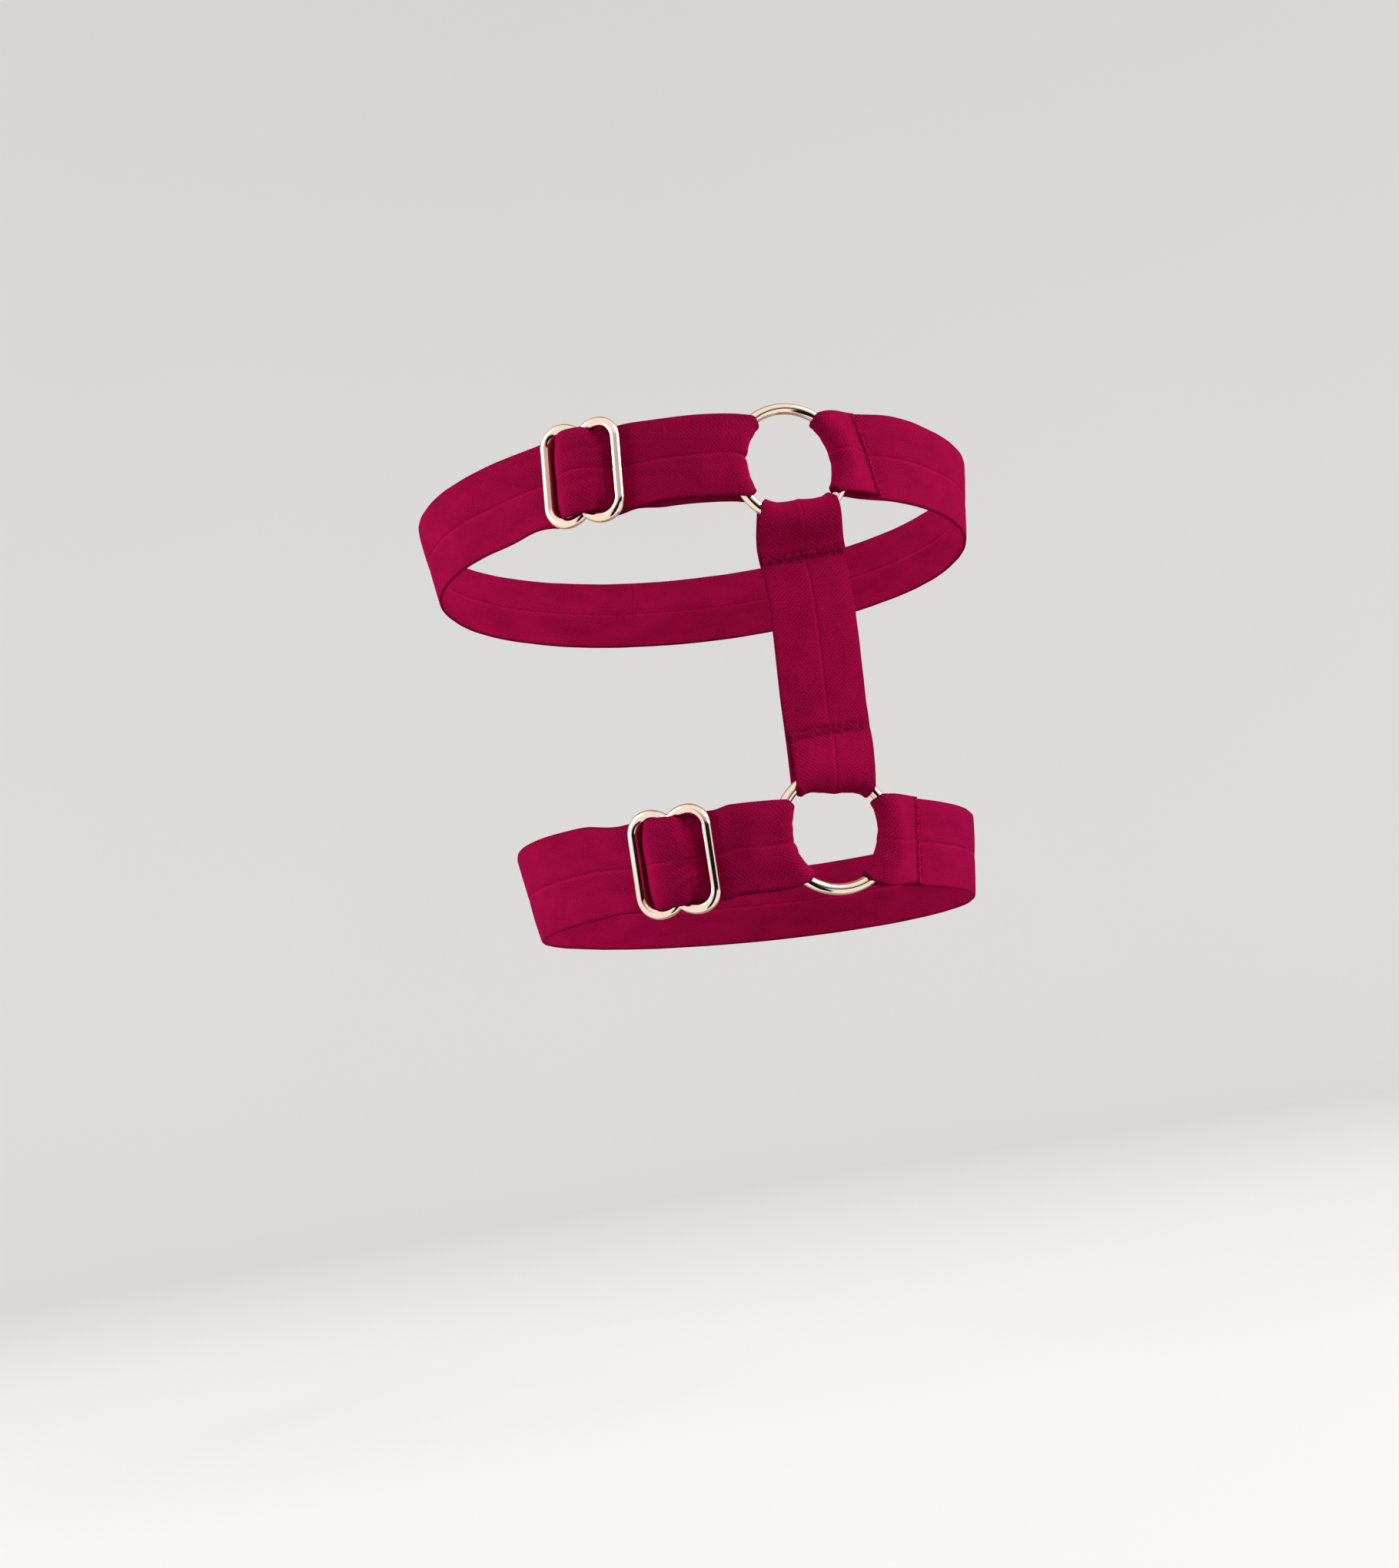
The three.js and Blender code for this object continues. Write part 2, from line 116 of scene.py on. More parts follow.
# Angles are taken round the thigh from the front, positive to the right. A half is half the
# strap's width, and a shift moves the strap up, or to the right on the centre strap.
# A band lies at its height, leans with the place to the side and in depth, and its ring pulls
# it up by its pull. A metal piece is turned about its own up, nodded about its right and spun
# about its out direction.
# A fold's middle and half are angles round its ring, from the ring's right, anticlockwise, and
# its side is -1 where the strap's width runs the other way. Its slack is how far the
# middle of the fold stands off the wire and its ease how soon that falls away to its sides, its
# fan is how much the strap spreads as it leaves, and its spread is 1 where it tucks in towards
# the ring's middle and less where it tucks in more squarely.
# A slider's before and after are how the strap leans to either side of its middle bar.
# A band's stitched tab ends at low and high. Its round, front and back run from one angle to
# another: round the thigh to the slider, from the slider to the ring, and back under the front.
# The centre strap bows: bow_reach above bow_middle it lies bow degrees further to the left, and
# as far below bow_middle it lies as much to the right.
UPPER = {
    "height": 55.6,
    "lean_side": -0.0387,
    "lean_deep": 0.0093,
    "pull": -1.2,
    "ring": {"angle": 18.9, "z": 49.5, "turn": -2.5, "nod": -1.5, "spin": 0},
    "slider": {
        "angle": -19.1, "z": 56.3, "turn": -1.2, "nod": -1.6, "spin": -6.8,
        "before": 4.6, "after": 0,
    },
    "right_fold": {
        "middle": 11, "half": 46, "side": 1, "slack": 1.1, "ease": 1, "fan": 0.2, "spread": 1,
    },
    "left_fold": {
        "middle": 171, "half": 46, "side": -1, "slack": 0.7, "ease": 1, "fan": 0.1, "spread": 1,
    },
    "tab": {"low": 39.2, "high": 33.8, "half": 11.9, "shift": 0.5},
    "round": {
        "start": 34.5, "end": 320, "half": HALF_WIDTH, "shift": 0,
        "give": {"at": 46, "reach": 8, "wider": 0.5, "higher": 0.5},
    },
    "front": {"start": -5.5, "end": -1.5, "half": 11.75, "shift": 0.55},
    "back": {"start": -1.5, "end": -5.5, "half": 11.1, "shift": -1.4},
}
LOWER = {
    "height": -55.6,
    "lean_side": -0.0572,
    "lean_deep": -0.0011,
    "pull": 0.9,
    "ring": {"angle": 19.8, "z": -54, "turn": -5, "nod": -3, "spin": 0},
    "slider": {
        "angle": -16.6, "z": -55.6, "turn": 0.3, "nod": 2.3, "spin": -3.7,
        "before": 0.4, "after": -0.6,
    },
    "right_fold": {
        "middle": -15, "half": 48, "side": 1, "slack": 1, "ease": 1, "fan": 0.3, "spread": 1,
    },
    "left_fold": {
        "middle": 190, "half": 45, "side": -1, "slack": 0.7, "ease": 1, "fan": 0.3, "spread": 1,
    },
    "tab": {"low": 42.9, "high": 43.9, "half": 12.4, "shift": 0.3},
    "round": {
        "start": 37.5, "end": 320, "half": HALF_WIDTH, "shift": 0,
        "give": {"at": 292, "reach": 36, "wider": 1.5, "higher": 0.4},
    },
    "front": {"start": -2.5, "end": -1, "half": 12.3, "shift": 0.2},
    "back": {"start": -1, "end": -2.5, "half": 12.2, "shift": -0.2},
}
CENTRE = {
    "angle": 21.4,
    "bow": 1.4,
    "bow_middle": -7,
    "bow_reach": 32,
    "top_fold": {
        "middle": -86, "half": 43.5, "side": 1, "slack": 2.6, "ease": 2, "fan": 0.3, "spread": 0.9,
    },
    "bottom_fold": {
        "middle": 85, "half": 44, "side": -1, "slack": 2.7, "ease": 2, "fan": 0.1, "spread": 0.8,
    },
    "top_tab": {"left": 22.3, "right": 25.4, "half": 13, "shift": 0.4},
    "bottom_tab": {"left": -26.3, "right": -24.7, "half": 12.2, "shift": 0.3},
    "plain": {"top": 24.5, "bottom": -24.5, "half": 12.9, "shift": 0.3},
}

# Where a strap gives it is a little wider and sits a little higher. It gives most at one angle,
# and this fades over its reach. The legs in front don't give.
NO_GIVE = {"at": 0, "reach": 1, "wider": 0, "higher": 0}

# The strap over a slider's middle bar: place along it, height, half width, drop of its edges.
# It stands up steeply inside the left bar, lies over the middle bar and goes down to the right.
# Over the middle bar its edges lie on the wires, and to both sides they are tucked under them.
OVER_MIDDLE_BAR = [
    (-SLIDER_EXIT, UNDER_SLIDER, 12.4, 0),
    (-SIDE_BAR, UNDER_SLIDER, 12.7, 0.3),
    (-9.7, -2.45, 13, 0.4),
    (-8.9, -2.1, 12.9, 0.9),
    (-8.2, -1.3, 12.5, 2.2),
    (-7.6, -0.3, 11.7, 2.8),
    (-7.1, 0.7, 11, 2.4),
    (-6.5, 1.7, 10.9, 1.2),
    (-5.7, 2.6, 12, 0.4),
    (-4.5, 3.4, 12.4, 0.3),
    (-3, 3.8, 12.5, 0.3),
    (-1, 3.85, 12.4, 0.3),
    (1, 3.7, 12.3, 0.3),
    (2.4, 3.35, 12.2, 0.5),
    (3.4, 2.85, 11.5, 1.6),
    (4.2, 2.3, 11.2, 3.2),
    (5, 1.7, 12.1, 4.3),
    (6.2, 0.65, 12.4, 3.4),
    (7.4, -0.6, 12.4, 2.2),
    (8.4, -1.6, 12.4, 1.2),
    (9.4, -2.35, 12.4, 0.5),
    (SIDE_BAR, UNDER_SLIDER, 12.4, 0.3),
    (SLIDER_EXIT, UNDER_SLIDER, 12.4, 0),
]

# The strap's own end, in the same columns: under the right bar, round the middle bar from below
# and back on itself. Of the places round the bar, 270 is below it and 90 above it.
END_LAYER = UNDER_SLIDER - LAYER
END_HALF = 9
END_UNDER_BARS = [
    (SLIDER_EXIT, END_LAYER, 12, 0),
    (SIDE_BAR, END_LAYER, 12.3, 0.3),
    (8, END_LAYER + 0.35, 12.7, 0.8),
    (5.4, END_LAYER + 0.95, 13.1, 0.9),
    (2.8, -BAR_TURN - 0.3, 13.1, 0.9),
]
BAR_TURNS = np.radians([270, 240, 210, 180, 150, 120, 90, 62])
END_TUCKED = [(2.7, 0.6, END_HALF, 0), (4.1, -0.75, END_HALF, 0)]

# How late across a strap the drop of its edges begins: the power of the curve.
EDGE_BEND = 5

# Places round a ring's wire: 90 is above it, 0 in the hole and -90 below it.
TUCKS = np.radians([94, 61, 31, 0, -31, -61, -94])

# How far apart the rows of the finished mesh are, on a band's plain round and elsewhere.
ROUND_SPACING = 1.5
FINE_SPACING = 0.55


def unit(v):
    return v / np.linalg.norm(v, axis=-1, keepdims=True)


def thigh_point(angle, z, height):
    flare = THIGH_FLARE * z * z + height
    side = THIGH_HALF_SIDE + THIGH_TAPER_SIDE * z + flare
    front = THIGH_HALF_FRONT + THIGH_TAPER_FRONT * z + flare
    turn = np.radians(angle)
    return np.stack(np.broadcast_arrays(side * np.sin(turn), -front * np.cos(turn), z), -1)


def thigh_axes(angle, z):
    up = unit(thigh_point(angle, z + 0.5, 0) - thigh_point(angle, z - 0.5, 0))
    along = unit(thigh_point(angle + 0.5, z, 0) - thigh_point(angle - 0.5, z, 0))
    out = unit(np.cross(along, up))
    return np.cross(up, out), up, out


def turned(v, axis, degrees):
    turn = math.radians(degrees)
    flat = axis * np.dot(axis, v)
    return flat + (v - flat) * math.cos(turn) + np.cross(axis, v) * math.sin(turn)


def piece_frame(place, lift):
    """The centre of a metal piece on the thigh, and its right, up and out directions."""
    right, up, out = thigh_axes(place["angle"], place["z"])
    right, up = (turned(v, out, place["spin"]) for v in (right, up))
    right, out = (turned(v, up, place["turn"]) for v in (right, out))
    up, out = (turned(v, right, place["nod"]) for v in (up, out))
    return thigh_point(place["angle"], place["z"], lift), right, up, out


def in_frame(place_frame, x, y, height):
    centre, *axes = place_frame
    return centre + sum(np.multiply.outer(n, axis) for n, axis in zip((x, y, height), axes))


def standing(right, up, back, place):
    """The matrix of an object at a place in millimetres, from its own three directions."""
    matrix = Matrix(np.column_stack([right, up, back]).tolist()).to_4x4()
    matrix.translation = np.array(place) * MM
    return matrix


def band_height(band, angle):
    on_skin = thigh_point(angle, band["height"], 0)
    from_ring = (angle - band["ring"]["angle"]) / PULL_REACH
    lean = band["lean_side"] * on_skin[..., 0] + band["lean_deep"] * on_skin[..., 1]
    return band["height"] + lean + band["pull"] * np.exp(-from_ring * from_ring)


def band_row(band, angle, height, half, shift):
    angle = angle + 0 * ACROSS
    z = band_height(band, angle)
    up = thigh_axes(angle, z)[1]
    return thigh_point(angle, z, height) + up * (ACROSS * half + shift)[:, None]


def band_leg(name, band, lie, count, height):
    """A leg of a band round the thigh, at an even height over the skin."""
    give = lie.get("give", NO_GIVE)
    rows = []
    for angle in np.linspace(lie["start"], lie["end"], count + 1):
        near = math.exp(-(((angle - give["at"]) / give["reach"]) ** 2))
        half = lie["half"] + near * give["wider"]
        shift = lie["shift"] + near * give["higher"]
        rows.append(band_row(band, angle, height, half, shift))
    return {"name": name, "rows": rows}


def centre_angle(z):
    bow = (z - CENTRE["bow_middle"]) / CENTRE["bow_reach"]
    return CENTRE["angle"] - CENTRE["bow"] * bow**3


def centre_row(z, height, half, shift):
    z = z + 0 * ACROSS
    angle = centre_angle(z)
    step = thigh_point(angle + 0.5, z, 0) - thigh_point(angle - 0.5, z, 0)
    return thigh_point(angle + (ACROSS * half + shift) / np.linalg.norm(step, axis=-1), z, height)


def ring_fold(name, place, fold, reverse=False):
    """A strap's fold in a ring: over the wire, into the hole and back under the wire."""
    place_frame = piece_frame(place, RING_LIFT)
    middle = math.radians(fold["middle"])
    arc = middle + np.radians(fold["side"] * ACROSS * fold["half"])
    inward = middle + (arc - middle) * fold["spread"]
    wrap = RING_TURN / np.cos(arc - inward)
    rows = []
    slack = fold["slack"] * (1 - ACROSS * ACROSS) ** fold["ease"]
    for tuck in TUCKS:
        into = wrap * math.cos(tuck) + slack * max(math.cos(tuck), 0)
        x = RING_RADIUS * np.cos(arc) - into * np.cos(inward)
        y = RING_RADIUS * np.sin(arc) - into * np.sin(inward)
        rows.append(in_frame(place_frame, x, y, 0 * x + RING_TURN * math.sin(tuck)))
    fan = middle + (arc - middle) * fold["fan"]
    _, right, up, _ = place_frame
    outward = np.multiply.outer(np.cos(fan), right) + np.multiply.outer(np.sin(fan), up)
    if reverse:
        rows = rows[::-1]
    return {"name": name, "rows": rows, "start": -outward, "end": outward}


def slider_leg(name, band, places):
    """The strap in a slider, from places of (x, height, half width, drop of its edges)."""
    place_frame = piece_frame(band["slider"], SLIDER_LIFT)
    rows = []
    for x, height, half, drop in places:
        lean = band["slider"]["before" if x < 0 else "after"]
        y = ACROSS * half + x * math.tan(math.radians(lean))
        heights = height - drop * np.abs(ACROSS) ** EDGE_BEND
        rows.append(in_frame(place_frame, x + 0 * y, y, heights))
    return {"name": name, "rows": rows}


def end_on_bar(band):
    round_bar = [
        (BAR_TURN * math.cos(turn), BAR_TURN * math.sin(turn), END_HALF, 0) for turn in BAR_TURNS
    ]
    return slider_leg("end", band, [*END_UNDER_BARS, *round_bar, *END_TUCKED])


def bridge(before, after, count):
    """Rows that lead from the end of one leg to the start of the next."""
    start, end = before["rows"][-1], after["rows"][0]
    leaving = before["end"] if "end" in before else start - before["rows"][-2]
    arriving = after["start"] if "start" in after else after["rows"][1] - end
    pull = np.linalg.norm(end - start, axis=-1, keepdims=True) * BRIDGE_BEND
    leaving, arriving = unit(leaving) * pull, unit(arriving) * pull
    rows = []
    for i in range(1, count + 1):
        t = i / (count + 1)
        held = start * (1 + t * t * (2 * t - 3)) + leaving * t * (1 - t) ** 2
        rows.append(held + end * t * t * (3 - 2 * t) - arriving * t * t * (1 - t))
    return rows


def band_legs(band):
    tab = band["tab"]
    tab_angle = (tab["low"] + tab["high"]) / 2 + (tab["high"] - tab["low"]) / 2 * ACROSS
    hem = [
        band_row(band, tab_angle - back, OUTER_LAYER, tab["half"], tab["shift"])
        for back in (0, BAND_HEM)
    ]
    return [
        {"name": "hem", "rows": hem},
        ring_fold("right_fold", band["ring"], band["right_fold"]),
        band_leg("round", band, band["round"], ROUND_STEPS, INNER_LAYER),
        slider_leg("slider", band, OVER_MIDDLE_BAR),
        band_leg("front", band, band["front"], SHORT_STEPS, OUTER_LAYER),
        ring_fold("left_fold", band["ring"], band["left_fold"]),
        band_leg("back", band, band["back"], SHORT_STEPS, INNER_LAYER),
        end_on_bar(band),
    ]


def centre_legs():
    def hem(tab, *backs):
        z = (tab["left"] + tab["right"]) / 2 + (tab["right"] - tab["left"]) / 2 * ACROSS
        return [centre_row(z + back, OUTER_LAYER, tab["half"], tab["shift"]) for back in backs]

    plain = CENTRE["plain"]
    between = [
        centre_row(z, INNER_LAYER, plain["half"], plain["shift"])
        for z in np.linspace(plain["top"], plain["bottom"], PLAIN_STEPS + 1)
    ]
    return [
        {"name": "hem", "rows": hem(CENTRE["top_tab"], 0, CENTRE_HEM)},
        ring_fold("top_fold", UPPER["ring"], CENTRE["top_fold"]),
        {"name": "plain", "rows": between},
        ring_fold("bottom_fold", LOWER["ring"], CENTRE["bottom_fold"], reverse=True),
        {"name": "last_hem", "rows": hem(CENTRE["bottom_tab"], -CENTRE_HEM, 0)},
    ]


class Strap:
    """A strap as a fine grid of points: rows along it, and ACROSS over each row."""

    def __init__(self, legs):
        rows, marks, spacings = [], {}, []
        for i, leg in enumerate(legs):
            first = len(rows)
            rows.extend(leg["rows"])
            marks[leg["name"]] = (first, len(rows) - 1)
            spacing = ROUND_SPACING if leg["name"] == "round" else FINE_SPACING
            spacings += [spacing] * (len(leg["rows"]) - 1)
            if i < len(legs) - 1:
                rows.extend(bridge(leg, legs[i + 1], BRIDGE_ROWS))
                spacings += [FINE_SPACING] * (BRIDGE_ROWS + 1)
        rows = np.array(rows)
        steps = np.linalg.norm(np.diff(rows[:, MIDDLE], axis=0), axis=1)
        knots = np.concatenate([[0], np.cumsum(steps)])
        self.marks = {name: (knots[a], knots[b]) for name, (a, b) in marks.items()}
        self.length = knots[-1]
        parts = [
            np.linspace(knots[i], knots[i + 1], max(1, math.ceil(steps[i] / spacings[i])), False)
            for i in range(len(steps))
        ]
        self.along = np.concatenate([*parts, [self.length]])
        self.points = smooth_through(knots, rows, self.along)
        self.half_thickness = np.full(self.points.shape[:2], STRAP_THICKNESS / 2)
        # Where the painted shadow of the stitches falls, filled in by press_tabs.
        self.seam = np.zeros(self.points.shape[:2])

    def normals(self):
        along = np.gradient(self.points, axis=0)
        across = np.gradient(self.points, axis=1)
        return unit(np.cross(along, across))

    def push(self, amount):
        """Moves each point out of the strap by its own amount."""
        self.points = self.points + self.normals() * amount[..., None]

    def near(self, name, reach):
        """1 at the middle of a leg, falling to 0 over reach along the strap."""
        a, b = self.marks[name]
        return np.exp(-(((self.along - (a + b) / 2) / reach) ** 2))[:, None]

    def on_tab(self, end, back, across, lift):
        """A point on a tab's face, back from its raw end, or past the end on the layer below."""
        inward = 1 if end == 0 else -1
        along = end + inward * max(back, 0)
        row = np.interp(along, self.along, np.arange(len(self.along)))
        column = np.interp(across, ACROSS, np.arange(len(ACROSS)))
        i, j = min(int(row), len(self.along) - 2), min(int(column), len(ACROSS) - 2)
        u, v = row - i, column - j
        shares = ((i, j, (1 - u) * (1 - v)), (i + 1, j, u * (1 - v)),
                  (i, j + 1, (1 - u) * v), (i + 1, j + 1, u * v))
        point, normal, half = (
            sum(grid[a, b] * share for a, b, share in shares)
            for grid in (self.points, self.grid_normals, self.half_thickness)
        )
        outward = unit(self.points[i, j] - self.points[i + 1, j]) * inward
        past = max(-back, 0)
        drop = TAB_STEP * min(past / TAB_STEP_LENGTH, 1)
        return point + outward * past - unit(normal) * (half + lift - drop)


def smooth_through(knots, rows, wanted):
    """Points on the smooth curves through all rows, at the wanted lengths."""
    steps = np.diff(knots)[:, None, None]
    slopes = np.diff(rows, axis=0) / steps
    tangents = np.empty_like(rows)
    tangents[0], tangents[-1] = slopes[0], slopes[-1]
    tangents[1:-1] = (slopes[:-1] * steps[1:] + slopes[1:] * steps[:-1]) / (steps[1:] + steps[:-1])
    i = np.clip(np.searchsorted(knots, wanted, side="right") - 1, 0, len(steps) - 1)
    h = steps[i]
    t = (wanted - knots[i])[:, None, None] / h
    return (
        rows[i] * (1 + t * t * (2 * t - 3))
        + tangents[i] * h * t * (1 - t) ** 2
        + rows[i + 1] * t * t * (3 - 2 * t)
        - tangents[i + 1] * h * t * t * (1 - t)
    )


# How each strap is worked over after it is laid out. Lengths and depths are in millimetres.
VALLEY_DEPTH = 0.06
VALLEY_WIDTH = 0.9
HALF_SWELL = 0.1

# Slow waves along a strap: length and depth. They slant across it by up to WAVE_SLANT, and
# waves and pleats start anywhere within PHASE.
WAVES = [(47, 0.1), (23, 0.07), (11, 0.04)]
WAVE_SLANT = 2.2
PHASE = 6.3

# Pleats across a gathered fold: number of half waves, and share of the gather's depth.
PLEATS = [(2.5, 0.5), (4.3, 0.7), (7.1, 0.5)]

# The strap over a slider's middle bar bulges, and its edges sink.
PUFF_RISE = 0.35
PUFF_EDGE_SINK = 0.6
PUFF_REACH = 4

# How far to each side a soft crease fades out.
CREASE_WIDTH = 0.7

# The nick of the fold line in a fold: its reach along the strap, and its share of the width.
NOTCH_REACH = 3.2
NOTCH_WIDTH = 0.07


def swell(strap):
    """A shallow valley along the elastic's fold line, and the slight swell of each half."""
    valley = -VALLEY_DEPTH * np.exp(-((ACROSS * HALF_WIDTH / VALLEY_WIDTH) ** 2))
    halves = HALF_SWELL * (1 - (2 * np.abs(ACROSS) - 1) ** 2)
    strap.push(np.ones((len(strap.along), 1)) * (valley + halves))


def ripple(strap, seed):
    """Slow shallow waves, so that no stretch is perfectly even."""
    random = np.random.default_rng(seed)
    amount = np.zeros((len(strap.along), len(ACROSS)))
    for wave, depth in WAVES:
        phase, lean, tilt = random.uniform(0, PHASE, 3)
        turns = FULL_TURN * strap.along[:, None] / wave
        slanting = np.sin(turns + phase + math.sin(lean) * WAVE_SLANT * ACROSS)
        amount += depth * slanting * np.sin(2 * ACROSS + tilt)
    strap.push(amount)


def gather(strap, name, seed, depth, reach):
    """Small uneven pleats where a strap is bunched in a ring, fading out over reach."""
    random = np.random.default_rng(seed)
    amount = np.zeros(len(ACROSS))
    for pleats, share in PLEATS:
        amount += share * np.sin(pleats * math.pi * ACROSS + random.uniform(0, PHASE))
    strap.push(strap.near(name, reach) * (depth * amount * (1 - ACROSS**8)))


def notch(strap, name, depth):
    """The fold line's nick in the edge of a fold."""
    strap.push(strap.near(name, NOTCH_REACH) * (-depth * np.exp(-((ACROSS / NOTCH_WIDTH) ** 2))))


def puff(strap):
    """The strap over a slider's middle bar, rounded down at its edges."""
    amount = PUFF_RISE - PUFF_EDGE_SINK * np.abs(ACROSS) ** 4
    strap.push(strap.near("slider", PUFF_REACH) * amount)


def crease(strap, name, along, across, tilt, length, depth):
    """One soft straight crease, placed in millimetres from the middle of a leg."""
    a, b = strap.marks[name]
    x = strap.along[:, None] - (a + b) / 2 - along
    y = ACROSS * HALF_WIDTH - across
    turn = math.radians(tilt)
    down, aside = x * math.cos(turn) + y * math.sin(turn), y * math.cos(turn) - x * math.sin(turn)
    strap.push(depth * np.exp(-((aside / CREASE_WIDTH) ** 2) - (down / length) ** 2))


def press_tabs(strap, *ends):
    """Raw ends pressed thin onto the layer below by their stitches, and where the stitches' painted
    shadow falls beside them.
    """
    for end in ends:
        near = np.exp(-(((strap.along - end) / PRESS_REACH) ** 2))[:, None]
        strap.push(near * (TAB_PRESS + 0 * ACROSS))
        strap.half_thickness = strap.half_thickness - TAB_THINNING * near
        away = np.linalg.norm(strap.points - strap.points[0 if end == 0 else -1], axis=2)
        beside = np.sqrt(np.maximum(away**2 - LAYER**2, 0))
        strap.seam += np.exp(-((beside / SEAM_SHADE_REACH) ** 2))


# The corners of all cells of a grid, in order round a cell.
GRID_CORNERS = (
    (slice(0, -1), slice(0, -1)),
    (slice(1, None), slice(0, -1)),
    (slice(1, None), slice(1, None)),
    (slice(0, -1), slice(1, None)),
)


def strap_mesh(name, strap):
    """A closed mesh of the strap, outer face first, with a map in millimetres."""
    strap.grid_normals = strap.normals()
    edge = np.clip((np.abs(ACROSS) - FLAT_PART) / (1 - FLAT_PART), 0, 1)
    thickness = strap.half_thickness * np.sqrt(1 - edge**2)
    offset = strap.grid_normals * thickness[..., None]
    rows, columns = strap.points.shape[:2]
    outer = strap.points + offset
    inner = (strap.points - offset)[:, 1:-1]
    outer_index = np.arange(rows * columns).reshape(rows, columns)
    inner_index = outer_index.copy()
    inner_index[:, 1:-1] = rows * columns + np.arange(rows * (columns - 2)).reshape(rows, -1)
    a, b, c, d = (outer_index[i, j] for i, j in GRID_CORNERS)
    faces = [np.stack([a, b, c, d], -1).reshape(-1, 4)]
    a, b, c, d = (inner_index[i, j] for i, j in GRID_CORNERS)
    faces.append(np.stack([a, d, c, b], -1).reshape(-1, 4))
    for row, order in ((0, (0, 1, 2, 3)), (-1, (3, 2, 1, 0))):
        top, bottom = outer_index[row], inner_index[row]
        cap = np.stack([top[1:-2], top[2:-1], bottom[2:-1], bottom[1:-2]], -1)
        faces.append(cap[:, order])
    faces = np.concatenate(faces).tolist()
    for row, flip in ((0, False), (-1, True)):
        for tip, next_to in ((0, 1), (-1, -2)):
            corner = [outer_index[row, tip], outer_index[row, next_to], inner_index[row, next_to]]
            faces.append(corner[::-1] if flip != (tip == -1) else corner)
    mesh = bpy.data.meshes.new(name)
    vertices = np.concatenate([outer.reshape(-1, 3), inner.reshape(-1, 3)]) * MM
    mesh.from_pydata(vertices.tolist(), [], faces)
    outer_map = np.stack(np.broadcast_arrays(ACROSS * HALF_WIDTH, strap.along[:, None]), -1)
    flat = np.concatenate([outer_map.reshape(-1, 2), outer_map[:, 1:-1].reshape(-1, 2)])
    corners = np.zeros(len(mesh.loops), int)
    mesh.loops.foreach_get("vertex_index", corners)
    layer = mesh.uv_layers.new(name="strap")
    layer.uv.foreach_set("vector", flat[corners].astype(np.float32).ravel())
    # The stitches' painted shadow goes to the material as a point attribute.
    seam = mesh.attributes.new("seam", "FLOAT", "POINT")
    seam_shade_values = np.concatenate([strap.seam.ravel(), strap.seam[:, 1:-1].ravel()])
    seam.data.foreach_set("value", seam_shade_values.astype(np.float32))
    mesh.validate()
    return finished(name, mesh)


def finished(name, mesh):
    piece = bpy.data.objects.new(name, mesh)
    bpy.context.scene.collection.objects.link(piece)
    mesh.shade_smooth()
    return piece


# A direction that no tube sets out in.
SLANTED = (0.31, 0.87, 0.38)


def tube(points, radius, sides=7, closed=False):
    """Vertices and faces of a round tube along the points, with its ends filled."""
    points = np.asarray(points, float)
    if closed:
        heading = unit(np.roll(points, -1, 0) - np.roll(points, 1, 0))
    else:
        heading = unit(np.gradient(points, axis=0))
    side = unit(np.cross(heading[0], SLANTED))
    rings = []
    for point, ahead in zip(points, heading):
        side = unit(side - ahead * np.dot(side, ahead))
        other = np.cross(ahead, side)
        turn = np.linspace(0, FULL_TURN, sides, False)[:, None]
        rings.append(point + radius * (side * np.cos(turn) + other * np.sin(turn)))
    count = len(rings)
    faces = []
    for i in range(count if closed else count - 1):
        a, b = i * sides, (i + 1) % count * sides
        faces += [(a + j, a + (j + 1) % sides, b + (j + 1) % sides, b + j) for j in range(sides)]
    if not closed:
        faces.append(tuple(range(sides))[::-1])
        faces.append(tuple(range((count - 1) * sides, count * sides)))
    return np.concatenate(rings), faces


def joined(name, parts):
    """One piece from several lots of vertices and faces."""
    vertices, faces, start = [], [], 0
    for points, corners in parts:
        vertices += (points * MM).tolist()
        faces += [tuple(i + start for i in face) for face in corners]
        start += len(points)
    mesh = bpy.data.meshes.new(name)
    mesh.from_pydata(vertices, [], faces)
    return finished(name, mesh)


# Metal pieces: how finely their wires are divided, and the grain of the sliders' casting.
RING_STEPS = 160
RING_SIDES = 32
SLIDER_SIDES = 24
ARC_POINTS = 24
SIDE_POINTS = 30
BAR_POINTS = 12
BALL_ROWS = 12
CASTING_GRAIN = 0.24


def ring_piece(name, place):
    centre, right, up, _ = piece_frame(place, RING_LIFT)
    turn = np.linspace(0, FULL_TURN, RING_STEPS, False)[:, None]
    path = centre + RING_RADIUS * (right * np.cos(turn) + up * np.sin(turn))
    return joined(name, [tube(path, RING_WIRE / 2, RING_SIDES, closed=True)])


def lobe_path():
    """Half of a slider's wire: from the middle bar over a lobe, down the side, and back."""
    top = (SLIDER_HEIGHT - SLIDER_WIRE) / 2
    crown = SIDE_BAR - SLIDER_CORNER
    cusp = 90 + math.degrees(math.asin(crown / SLIDER_LOBE))

    def arc(y, radius, start, end):
        turn = np.radians(np.linspace(start, end, ARC_POINTS))
        return np.stack([crown + radius * np.cos(turn), y + radius * np.sin(turn)], -1)

    upper = np.concatenate([
        arc(top - SLIDER_LOBE, SLIDER_LOBE, cusp, 90)[:-1],
        arc(top - SLIDER_CORNER, SLIDER_CORNER, 90, 0),
    ])
    side = np.linspace(upper[-1], upper[-1] * [1, -1], SIDE_POINTS)[1:-1]
    flat = np.concatenate([upper, side, upper[::-1] * [1, -1]])
    return np.column_stack([flat, np.zeros(len(flat))])


